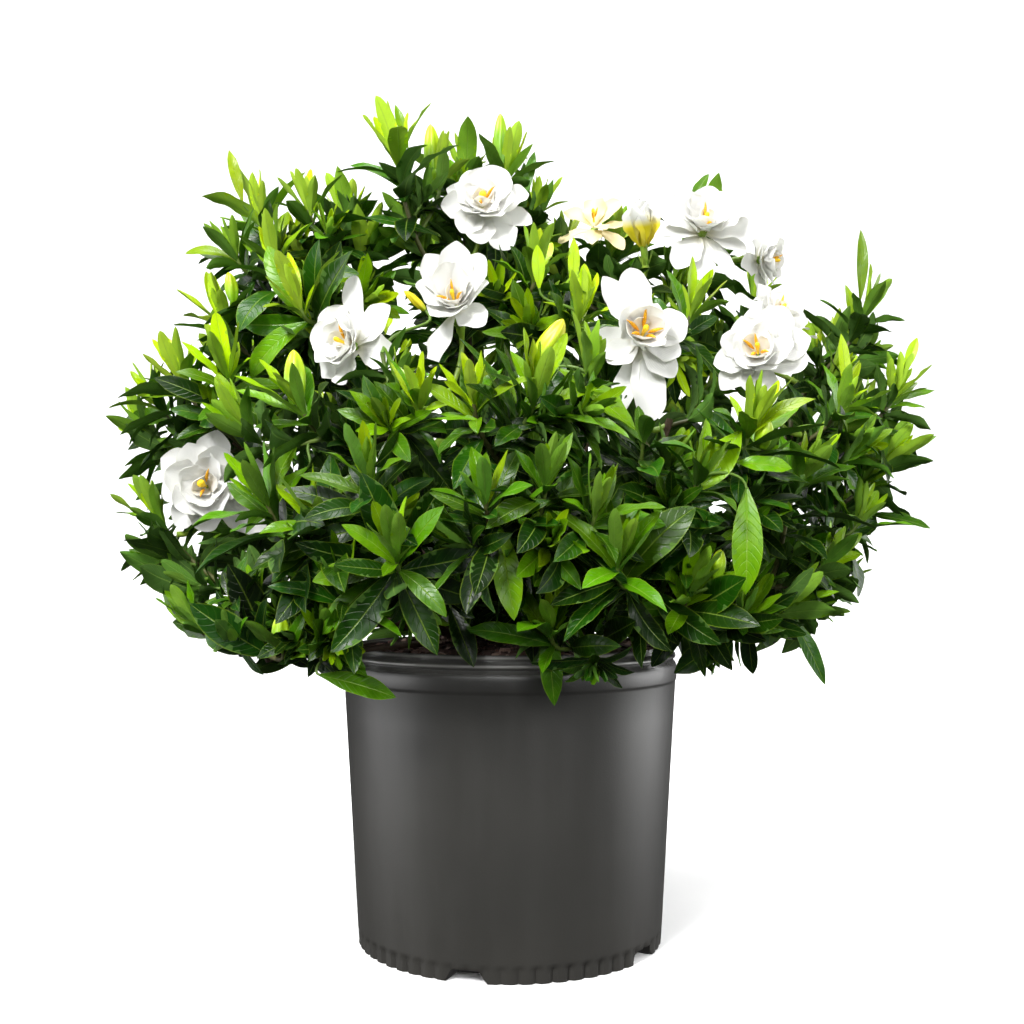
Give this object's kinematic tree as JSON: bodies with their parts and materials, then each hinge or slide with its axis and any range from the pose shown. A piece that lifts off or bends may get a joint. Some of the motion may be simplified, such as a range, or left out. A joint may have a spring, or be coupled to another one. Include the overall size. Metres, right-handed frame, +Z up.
{
  "type": "potted gardenia",
  "caption": "Bushy evergreen shrub with glossy leaves and double white blooms, growing in a round grey nursery pot that stands free.",
  "frame": {"origin": "centre of the pot's flat bottom, on the pot's axis", "axes": "+Z up along the pot's axis; +X along the plant's widest spread, to the right of the side that faces -Y; +Y to the back"},
  "size_m": [0.5932, 0.4937, 0.5786],
  "materials": {
    "pot_plastic": "satin moulded grey polyethylene",
    "potting_mix": "moist dark bark and peat crumbs",
    "bark": "dull brown woody stem",
    "leaf": "glossy leathery evergreen leaf, dark when old and lime when young",
    "petal": "waxy white petal, cream at the heart"
  },
  "bodies": {
    "root": {"flower_fading": "petal", "flower_far_left": "petal", "flower_half_open": "petal", "flower_middle_left": "petal", "flower_middle_right": "petal", "flower_nodding": "petal", "flower_right_back": "petal", "flower_right_front": "petal", "flower_top": "petal", "flower_upper_left": "petal", "flower_upper_right": "petal", "leafy_shoot_01": "leaf", "leafy_shoot_02": "leaf", "leafy_shoot_03": "leaf", "leafy_shoot_04": "leaf", "leafy_shoot_05": "leaf", "leafy_shoot_06": "leaf", "leafy_shoot_07": "leaf", "leafy_shoot_08": "leaf", "leafy_shoot_09": "leaf", "leafy_shoot_10": "leaf", "leafy_shoot_11": "leaf", "leafy_shoot_12": "leaf", "leafy_shoot_13": "leaf", "leafy_shoot_14": "leaf", "leafy_shoot_15": "leaf", "leafy_shoot_16": "leaf", "leafy_shoot_17": "leaf", "leafy_shoot_18": "leaf", "leafy_shoot_19": "leaf", "leafy_shoot_20": "leaf", "leafy_shoot_21": "leaf", "leafy_shoot_22": "leaf", "leafy_shoot_23": "leaf", "leafy_shoot_24": "leaf", "leafy_shoot_25": "leaf", "leafy_shoot_26": "leaf", "leafy_shoot_27": "leaf", "leafy_shoot_28": "leaf", "leafy_shoot_29": "leaf", "leafy_shoot_30": "leaf", "leafy_shoot_31": "leaf", "leafy_shoot_32": "leaf", "leafy_shoot_33": "leaf", "leafy_shoot_34": "leaf", "leafy_shoot_35": "leaf", "leafy_shoot_36": "leaf", "leafy_shoot_37": "leaf", "leafy_shoot_38": "leaf", "leafy_shoot_39": "leaf", "leafy_shoot_40": "leaf", "leafy_shoot_41": "leaf", "leafy_shoot_42": "leaf", "leafy_shoot_43": "leaf", "leafy_shoot_44": "leaf", "leafy_shoot_45": "leaf", "leafy_shoot_46": "leaf", "nursery_pot": "pot_plastic", "potting_mix": "potting_mix", "woody_stems": "bark"}
  },
  "joints": []
}
